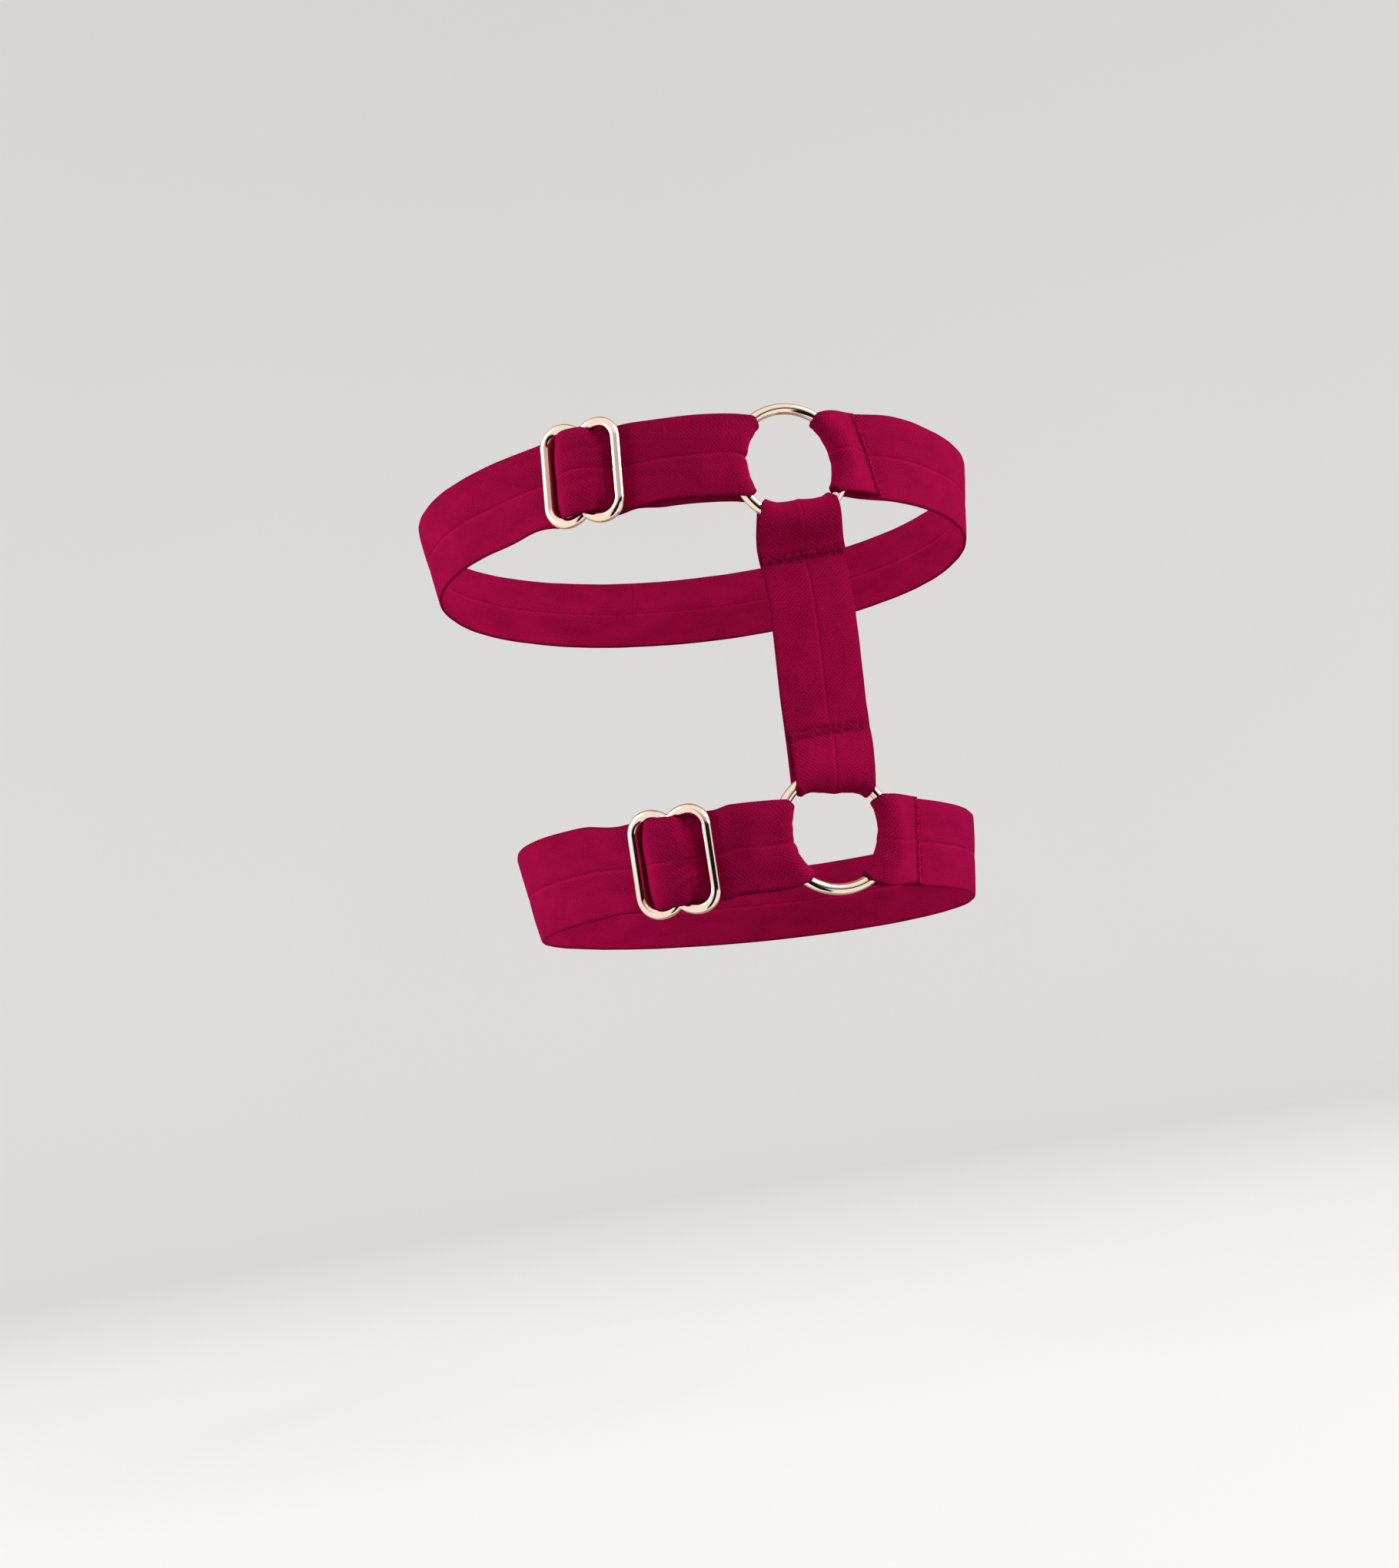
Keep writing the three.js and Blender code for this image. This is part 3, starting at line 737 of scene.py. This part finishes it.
def ball(centre, radius):
    rows, columns = BALL_ROWS, SLIDER_SIDES
    tilt = np.linspace(0, math.pi, rows + 1)[1:-1, None]
    turn = np.linspace(0, FULL_TURN, columns, False)
    spread = np.stack(np.broadcast_arrays(
        np.sin(tilt) * np.cos(turn), np.sin(tilt) * np.sin(turn), np.cos(tilt)), -1)
    points = np.concatenate([spread.reshape(-1, 3), [[0, 0, 1], [0, 0, -1]]]) * radius + centre
    faces = []
    for i in range(rows - 2):
        a, b = i * columns, (i + 1) * columns
        for j in range(columns):
            k = (j + 1) % columns
            faces.append((a + j, b + j, b + k, a + k))
    top, bottom, last = (rows - 1) * columns, (rows - 1) * columns + 1, (rows - 2) * columns
    for j in range(columns):
        k = (j + 1) % columns
        faces += [(top, j, k), (bottom, last + k, last + j)]
    return points, faces


def slider_piece(name, place):
    """Two lobes of wire and the middle bar, fused and smoothed as one casting."""
    path = lobe_path()
    cusp = path[0] * [0, 1, 0]
    bar = np.linspace(cusp, -cusp, BAR_POINTS)
    parts = [tube(lobe, SLIDER_WIRE / 2, SLIDER_SIDES) for lobe in (path, path * [-1, -1, 1])]
    parts.append(tube(bar, SLIDER_BAR / 2, SLIDER_SIDES))
    parts += [ball(end, SLIDER_WIRE / 2) for end in (cusp, -cusp)]
    rough = joined(name + "_rough", parts)
    fuse = rough.modifiers.new("fuse", "REMESH")
    fuse.mode = "VOXEL"
    fuse.voxel_size = CASTING_GRAIN * MM
    even = rough.modifiers.new("even", "SMOOTH")
    even.factor = 0.5
    even.iterations = 7
    seen = rough.evaluated_get(bpy.context.evaluated_depsgraph_get())
    mesh = bpy.data.meshes.new_from_object(seen)
    mesh.name = name
    bpy.data.objects.remove(rough)
    centre, *axes = piece_frame(place, SLIDER_LIFT)
    mesh.transform(standing(*axes, centre))
    return finished(name, mesh)


# Stitches. A row of zigzag runs from start to stop across a strap. It lies back from the raw
# end, reaches to both sides of that line, and side says which side comes first. Step is the
# length of one stitch, loose how uneven the reach is, thread how thick the thread is against
# the plain thread's radius, and lift how high it rises.
THREAD_RADIUS = 0.19
BAND_ROW = {
    "start": -0.985, "back": 0.1, "reach": 0.7, "step": 0.95, "loose": 0.3, "thread": 1.35,
    "lift": 0.22, "side": 1,
}
BAND_ROWS = [BAND_ROW, {**BAND_ROW, "side": -1, "reach": 0.5, "step": 1.3}]
CENTRE_ROW = {
    "start": -0.95, "stop": 0.94, "back": 0.1, "reach": 1.3, "step": 1.1, "loose": 0.5,
    "thread": 1, "lift": 0.08, "side": 1,
}
CENTRE_ROWS = [
    CENTRE_ROW,
    {**CENTRE_ROW, "side": -1, "step": 1.4},
    {**CENTRE_ROW, "reach": 0.8, "step": 1.9},
]

# One stitch: share of the way to the next hole, and height in lifts. Steps are uneven by a
# factor between two bounds, and holes stray to the side.
STITCH = [(0, -1.2), (0.2, 0.7), (0.5, 1), (0.8, 0.7)]
STEP_FACTORS = (0.65, 1.35)
STRAY = 0.02

# Cut thread ends: where they leave the stitches, how far their heading bends, their length
# against the reach, how high they start and rise, their thickness against the thread's, and
# how far across the strap they may lie.
LOOSE_BACK = (-0.8, 1.1)
LOOSE_BEND = 0.9
LOOSE_LENGTH = (0.5, 1.1)
LOOSE_LIFT = 0.12
LOOSE_RISE = 0.4
LOOSE_THREAD = 0.6
LOOSE_LIMIT = 0.97


def zigzag(strap, end, seed, rows):
    """Zigzag stitches over a raw end, sewn in several uneven rows."""
    random = np.random.default_rng(seed)
    parts = []
    for row in rows:
        across, side = row["start"], row["side"]
        holes = []
        while across < row["stop"]:
            reach = side * row["reach"] * random.uniform(1 - row["loose"], 1 + row["loose"])
            holes.append((row["back"] + reach, across + random.uniform(-STRAY, STRAY)))
            across += row["step"] * random.uniform(*STEP_FACTORS) / HALF_WIDTH
            side = -side
        path = []
        for (b0, a0), (b1, a1) in zip(holes, holes[1:]):
            for t, rise in STITCH:
                lift = rise * row["lift"]
                path.append(strap.on_tab(end, b0 + (b1 - b0) * t, a0 + (a1 - a0) * t, lift))
        parts.append(tube(path, THREAD_RADIUS * row["thread"]))
    return parts


def loose_threads(strap, end, seed, count, reach, places=(-0.9, 0.9)):
    """Short cut thread ends that stick out of the stitches."""
    random = np.random.default_rng(seed)
    parts = []
    for _ in range(count):
        back, across = random.uniform(*LOOSE_BACK), random.uniform(*places)
        turn, bend = random.uniform(0, FULL_TURN), random.uniform(-LOOSE_BEND, LOOSE_BEND)
        length = reach * random.uniform(*LOOSE_LENGTH)
        path = []
        for t in np.linspace(0, 1, 7):
            heading = turn + bend * t
            b = back + length * t * math.cos(heading)
            a = across + length * t * math.sin(heading) / HALF_WIDTH
            lift = LOOSE_LIFT + LOOSE_RISE * t * t
            a = max(-LOOSE_LIMIT, min(LOOSE_LIMIT, a))
            path.append(strap.on_tab(end, b, a, lift))
        parts.append(tube(path, THREAD_RADIUS * LOOSE_THREAD, 6))
    return parts


# Materials. Their bump distances are in metres. Each pair of colours is dark and light.
SATIN = (0.07, 0.0010, 0.012, 1), (0.46, 0.0050, 0.070, 1)
BAND_THREAD = (0.20, 0.0014, 0.032, 1), (0.68, 0.0070, 0.14, 1)
CENTRE_THREAD = (0.13, 0.0010, 0.021, 1), (0.50, 0.0048, 0.09, 1)
NICKEL = (0.86, 0.76, 0.68, 1), (0.95, 0.88, 0.81, 1)
SHEEN = (1.0, 0.01, 0.22, 1)


class Nodes:
    """Short ways to build a node tree. Any value may be a plain one or another node's socket."""

    def __init__(self, tree):
        self.nodes, self.links = tree.nodes, tree.links

    def fill(self, node, values):
        """Gives a node's inputs, by name or number, their values."""
        for key, value in values.items():
            if isinstance(value, bpy.types.NodeSocket):
                self.links.new(value, node.inputs[key])
            else:
                node.inputs[key].default_value = value

    def output(self, kind, values, output=0, **settings):
        """One output of a new node."""
        node = self.nodes.new("ShaderNode" + kind)
        for name, setting in settings.items():
            setattr(node, name, setting)
        self.fill(node, values)
        return node.outputs[output]

    def maths(self, operation, *values):
        return self.output("Math", dict(enumerate(values)), operation=operation)

    def mix(self, share, first, second):
        return self.output("Mix", {0: share, 6: first, 7: second}, 2, data_type="RGBA")

    def noise(self, vector, scale, detail, rough=0.5):
        values = {"Vector": vector, "Scale": scale, "Detail": detail, "Roughness": rough}
        return self.output("TexNoise", values)

    def vector(self, x, y):
        return self.output("CombineXYZ", {0: x, 1: y})

    def split(self, vector):
        node = self.nodes.new("ShaderNodeSeparateXYZ")
        self.fill(node, {0: vector})
        return node.outputs

    def bump(self, height, distance, strength):
        return self.output("Bump", {"Height": height, "Distance": distance, "Strength": strength})


def new_material(name):
    material = bpy.data.materials.new(name)
    material.use_nodes = True
    tree = material.node_tree
    return material, Nodes(tree), tree.nodes["Principled BSDF"]


# The spacing of the twill's slanting lines, and of those that cross them.
TWILL = 0.82
CROSS_TWILL = 0.77


def satin_elastic():
    """Satin knit: a fine slanting twill, flecks, a raised fold line with a painted highlight on its
    ridge and painted shade in the groove beside it, and painted shade along the edges and beside
    the stitches.
    """
    material, kit, shader = new_material("satin_elastic")
    u, v, _ = kit.split(kit.output("UVMap", {}, uv_map="strap"))

    def total(*terms):
        """The sum of terms of (value, weight)."""
        result = 0.0
        for value, weight in terms:
            result = kit.maths("MULTIPLY_ADD", value, weight, result)
        return result

    def line(value, middle, width):
        """1 on a line at middle, falling away over width."""
        away = kit.maths("DIVIDE", kit.maths("SUBTRACT", value, middle), width)
        return kit.maths("EXPONENT", kit.maths("MULTIPLY", kit.maths("MULTIPLY", away, away), -1.0))

    # The map is in millimetres across and along the strap, and everything drawn on it is too.
    wander = kit.noise(kit.vector(u, v), 0.35, 2)
    slant = total((u, 0.68), (v, 0.73), (wander, 0.7))
    cross = total((u, -0.56), (v, 0.83), (wander, 0.7))
    twill = kit.maths("SINE", kit.maths("MULTIPLY", slant, FULL_TURN / TWILL))
    cross_twill = kit.maths("SINE", kit.maths("MULTIPLY", cross, FULL_TURN / CROSS_TWILL))
    weave = total((twill, 0.65), (cross_twill, 0.35))
    fleck_place = kit.vector(kit.maths("MULTIPLY", u, 1.6), kit.maths("MULTIPLY", v, 1.2))
    fleck = kit.noise(fleck_place, 2.2, 4, 0.75)
    cloud = kit.noise(kit.vector(u, kit.maths("MULTIPLY", v, 0.5)), 0.12, 3, 0.6)
    from_fold = total((u, 1.0), (wander, 0.5))
    # The fold line's ridge is raised in the bump and painted lighter, a painted highlight. The
    # groove beside it is sunk and painted darker, a painted shade.
    ridge = line(from_fold, -0.1, 0.4)
    groove = line(from_fold, 0.65, 0.35)
    # Painted shade along the strap's rounded edges.
    from_edge = kit.maths("SUBTRACT", HALF_WIDTH, kit.maths("ABSOLUTE", u))
    edge = line(from_edge, 0.0, 0.55)
    # Painted shadow of the stitches: the satin is a little darker near each raw end, and much
    # darker in patches there.
    seam = kit.output("Attribute", {}, "Fac", attribute_name="seam")
    patch = kit.noise(kit.vector(u, v), 0.9, 2, 0.6)
    patch = kit.maths("MAXIMUM", kit.maths("MULTIPLY_ADD", patch, 4.0, -1.7), 0.0)
    shadow = kit.maths("MULTIPLY", seam, patch)
    tone = total(
        (fleck, 2.1), (cloud, 0.5), (weave, 0.12), (ridge, 0.17), (groove, -0.14), (edge, -0.3),
        (seam, -0.05), (shadow, -0.5), (1.0, -0.77),
    )
    inside = kit.maths("SUBTRACT", 1.0, line(from_edge, 0.0, 1.1))
    knit = kit.maths("MULTIPLY", total((weave, 0.5), (fleck, 1.5)), inside)
    height = total((knit, 1.0), (ridge, 0.5), (groove, -0.6))
    kit.fill(shader, {
        "Base Color": kit.mix(tone, *SATIN),
        "Normal": kit.bump(height, 0.00008, 0.6),
        "Roughness": 0.55,
        "IOR": 1.04,
        "Specular IOR Level": 0.04,
        "Specular Tint": (1.0, 0.03, 0.25, 1),
        "Sheen Weight": 0.4,
        "Sheen Roughness": 0.4,
        "Sheen Tint": SHEEN,
    })
    return material


def thread_material(name, colours):
    """Sewing thread, dark and light along its length."""
    material, kit, shader = new_material(name)
    place = kit.output("TexCoord", {}, "Object")
    kit.fill(shader, {
        "Base Color": kit.mix(kit.noise(place, 1500, 2), *colours),
        "Normal": kit.bump(kit.noise(place, 6000, 1), 0.00004, 0.5),
        "Roughness": 0.6,
        "IOR": 1.06,
        "Specular IOR Level": 0.1,
        "Sheen Weight": 0.2,
        "Sheen Tint": SHEEN,
    })
    return material


def metal_material():
    """Polished warm nickel with faint scuffs."""
    material, kit, shader = new_material("warm_nickel")
    place = kit.output("TexCoord", {}, "Object")
    scuff = kit.noise(place, 900, 4, 0.7)
    wear = kit.noise(place, 140, 3, 0.6)
    kit.fill(shader, {
        "Base Color": kit.mix(wear, *NICKEL),
        "Normal": kit.bump(wear, 0.00008, 0.25),
        "Roughness": kit.maths("ADD", 0.05, kit.maths("MULTIPLY", scuff, 0.12)),
        "Metallic": 1.0,
    })
    return material


# Stage: pale floor, backdrop, soft lights and the camera of the photograph.
FLOOR_HEIGHT = -205
FLOOR_RADII = (400, 800, 1300)
WALL_BEND = 500
WALL_HEIGHTS = (1400, 2600)
STAGE_TONE = 0.42
TONE_SPREAD = 0.008
STAGE_STEPS = 96
LIGHT_SIZE = (600, 900)
LIGHT_COLOUR = (1.0, 0.96, 0.93)
LIT_PLACE = (0, -40, 0)


def stage_material(name):
    """Matt warm white paint that is a little lit from within, with faint clouds."""
    material, kit, shader = new_material(name)
    tones = STAGE_TONE - TONE_SPREAD, STAGE_TONE + TONE_SPREAD
    dark, light = ((n, n * 0.985, n * 0.97, 1) for n in tones)
    place = kit.output("TexCoord", {}, "Object")
    kit.fill(shader, {
        "Base Color": kit.mix(kit.noise(place, 3, 3), dark, light),
        "Roughness": 0.85,
        "Specular IOR Level": 0.1,
        "Emission Color": (1.0, 0.985, 0.97, 1),
        "Emission Strength": 0.45,
    })
    return material


def add_stage():
    """A round floor and a wall that curves up from it all round, far from the object."""
    floor = [(radius, 0) for radius in FLOOR_RADII]
    rim = FLOOR_RADII[-1]
    bend = [
        (rim + WALL_BEND * math.sin(t), WALL_BEND - WALL_BEND * math.cos(t))
        for t in np.radians(range(10, 91, 10))
    ]
    wall = [(rim, 0), *bend, *((rim + WALL_BEND, height) for height in WALL_HEIGHTS)]
    turn = np.linspace(0, FULL_TURN, STAGE_STEPS, False)
    for name, profile in (("floor", floor), ("backdrop", wall)):
        rings = [
            np.stack([r * np.cos(turn), r * np.sin(turn), 0 * turn + z + FLOOR_HEIGHT], -1)
            for r, z in profile
        ]
        faces = []
        for i in range(len(rings) - 1):
            a, b = i * STAGE_STEPS, (i + 1) * STAGE_STEPS
            for j in range(STAGE_STEPS):
                k = (j + 1) % STAGE_STEPS
                faces.append((b + j, b + k, a + k, a + j))
        if name == "floor":
            faces.append(tuple(range(STAGE_STEPS)))
        piece = joined(name, [(np.concatenate(rings), faces)])
        piece.data.materials.append(stage_material(name + "_paint"))
        # The stage is only seen. It neither lights, mirrors nor shades the harness.
        piece.visible_diffuse = False
        piece.visible_glossy = False
        piece.visible_shadow = False


def add_light(name, place, power):
    """A soft window of light that faces the front of the harness."""
    data = bpy.data.lights.new(name, "AREA")
    data.shape = "RECTANGLE"
    data.size, data.size_y = (n * MM for n in LIGHT_SIZE)
    data.energy = power
    data.color = LIGHT_COLOUR
    light = bpy.data.objects.new(name, data)
    back = unit(np.array(place) - LIT_PLACE)
    right = unit(np.cross([0, 0, 1], back))
    light.matrix_world = standing(right, np.cross(back, right), back, place)
    bpy.context.scene.collection.objects.link(light)


# What the metal mirrors. A patch reaches from one angle to another to the side and from one to
# another upwards, and then comes the width over which it fades.
DARK_PATCHES = [((-26, 56), (-16, 3), 4), ((-20, 25), (-72, -12), 4)]
GREY_PATCH = ((-30, 38), (0, 19), 8)
FRONT_WALLS = (-128, 128, 30)
BACK_COLOUR = (0.42, 0.30, 0.22, 1)
WALL_COLOUR = (1.0, 0.90, 0.80, 1)
GREY_COLOUR = (0.55, 0.47, 0.39, 1)
DARK_COLOUR = (0.004, 0.003, 0.003, 1)

# The soft light all round, from ahead and behind to the two sides.
FRONT_LIGHT = (0.20, 0.195, 0.19, 1)
SIDE_LIGHT = (0.75, 0.74, 0.73, 1)


def add_world():
    """A soft even studio. In the metal it shows its walls, and the dark place behind the camera."""
    world = bpy.data.worlds.new("studio")
    bpy.context.scene.world = world
    world.use_nodes = True
    kit = Nodes(world.node_tree)
    x, y, z = kit.split(kit.output("TexCoord", {}, "Generated"))
    aside = kit.maths("DEGREES", kit.maths("ARCTAN2", x, kit.maths("MULTIPLY", y, -1.0)))
    rise = kit.maths("DEGREES", kit.maths("ARCSINE", z))

    def between(value, low, high, soft):
        """1 where low < value < high, fading to 0 over soft on either side."""
        middle, half = (low + high) / 2, (high - low) / 2
        from_middle = kit.maths("ABSOLUTE", kit.maths("SUBTRACT", value, middle))
        share = kit.maths("DIVIDE", kit.maths("SUBTRACT", half + soft / 2, from_middle), soft)
        return kit.maths("MINIMUM", kit.maths("MAXIMUM", share, 0.0), 1.0)

    def patch(sides, heights, soft):
        return kit.maths("MULTIPLY", between(aside, *sides, soft), between(rise, *heights, soft))

    dark = kit.maths("MAXIMUM", *(patch(*place) for place in DARK_PATCHES))
    wall = kit.mix(between(aside, *FRONT_WALLS), BACK_COLOUR, WALL_COLOUR)
    wall = kit.mix(patch(*GREY_PATCH), wall, GREY_COLOUR)
    wall = kit.mix(dark, wall, DARK_COLOUR)
    soft_light = kit.mix(kit.maths("ABSOLUTE", x), FRONT_LIGHT, SIDE_LIGHT)
    glossy = kit.output("LightPath", {}, "Is Glossy Ray")
    kit.fill(kit.nodes["Background"], {"Color": kit.mix(glossy, soft_light, wall)})


# The photograph's camera, found from where the rings, sliders and edges lie in it. Its turns
# are in radians.
CAMERA_TURNS = (-0.0212, 0.1804, -0.1556)
CAMERA_PLACE = (-0.36, -546.9, -122.0)
CAMERA_SENSOR = 36
CAMERA_FOCAL_LENGTH = 40.43


def add_camera():
    yaw, pitch, roll = CAMERA_TURNS
    ahead = np.array([
        math.sin(yaw) * math.cos(pitch),
        math.cos(yaw) * math.cos(pitch),
        math.sin(pitch),
    ])
    level = unit(np.cross(ahead, [0, 0, 1]))
    over = np.cross(level, ahead)
    right = math.cos(roll) * level + math.sin(roll) * over
    up = -math.sin(roll) * level + math.cos(roll) * over
    data = bpy.data.cameras.new("camera")
    data.sensor_width = CAMERA_SENSOR
    data.lens = CAMERA_FOCAL_LENGTH
    data.clip_start = 0.01
    camera = bpy.data.objects.new("camera", data)
    camera.matrix_world = standing(right, up, -ahead, CAMERA_PLACE)
    bpy.context.scene.collection.objects.link(camera)
    bpy.context.scene.camera = camera


def place_piece(piece, node, material):
    piece.data.materials.append(material)
    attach(piece, "root")
    if node:
        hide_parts(node)


# Each band's own finish: the seed of its random numbers, how deep its notch is, how far across
# its stitches go, and the soft creases over its slider's middle bar: place along and across,
# tilt, length and depth.
FINISH = {
    "upper": {
        "seed": 11, "notch": 0.35, "stop": 0.82,
        "creases": [(4.5, 6.5, 8, 4, -0.3), (5, 2, 5, 4, 0.25), (5.5, -3, 3, 4, -0.25)],
    },
    "lower": {
        "seed": 31, "notch": 0.12, "stop": 0.9,
        "creases": [(5, 0.5, 12, 3.5, 0.35), (5.5, -1.5, 12, 3.5, -0.35), (5, -5, 30, 3, 0.4)],
    },
}
CENTRE_SEED = 51


def build_band(level, band, satin, thread, metal):
    finish = FINISH[level]
    seed = finish["seed"]
    strap = Strap(band_legs(band))
    swell(strap)
    ripple(strap, seed)
    gather(strap, "right_fold", seed + 1, depth=0.07, reach=4.5)
    gather(strap, "left_fold", seed + 2, depth=0.09, reach=4.5)
    notch(strap, "left_fold", finish["notch"])
    puff(strap)
    for place in finish["creases"]:
        crease(strap, "slider", *place)
    press_tabs(strap, 0)
    elastic = strap_mesh(f"{level}_band_elastic", strap)
    place_piece(elastic, f"{level}_band", satin)
    rows = [{**row, "stop": finish["stop"]} for row in BAND_ROWS]
    parts = zigzag(strap, 0, seed + 3, rows)
    parts += loose_threads(strap, 0, seed + 4, count=8, reach=1.6, places=(-0.98, -0.75))
    parts += loose_threads(strap, 0, seed + 5, count=7, reach=0.9)
    stitches = joined(f"{level}_band_stitches", parts)
    place_piece(stitches, None, thread)
    ring = ring_piece(f"{level}_ring_wire", band["ring"])
    place_piece(ring, f"{level}_ring", metal)
    slider = slider_piece(f"{level}_slider_wire", band["slider"])
    place_piece(slider, f"{level}_slider", metal)
    print(level, "band length", round(strap.length, 1), "faces", len(elastic.data.polygons))


def build_centre(satin, thread):
    seed = CENTRE_SEED
    strap = Strap(centre_legs())
    swell(strap)
    ripple(strap, seed)
    gather(strap, "top_fold", seed + 1, depth=0.05, reach=3)
    gather(strap, "bottom_fold", seed + 2, depth=0.05, reach=3)
    press_tabs(strap, 0, strap.length)
    elastic = strap_mesh("centre_strap_elastic", strap)
    place_piece(elastic, "centre_strap", satin)
    parts = []
    for i, end in enumerate((0, strap.length)):
        parts += zigzag(strap, end, seed + 3 + i, CENTRE_ROWS)
        parts += loose_threads(strap, end, seed + 5 + i, count=18, reach=1.4)
    stitches = joined("centre_strap_stitches", parts)
    place_piece(stitches, None, thread)
    print("centre strap length", round(strap.length, 1), "faces", len(elastic.data.polygons))


add_camera()
satin, metal = satin_elastic(), metal_material()
thread = thread_material("stitch_thread", BAND_THREAD)
dark_thread = thread_material("centre_thread", CENTRE_THREAD)
build_band("upper", UPPER, satin, thread, metal)
build_band("lower", LOWER, satin, thread, metal)
build_centre(satin, dark_thread)
add_stage()
add_world()
add_light("left_light", (-900, -350, 400), 9)
add_light("right_light", (900, -350, 500), 11)
bpy.context.scene.view_settings.view_transform = "Standard"
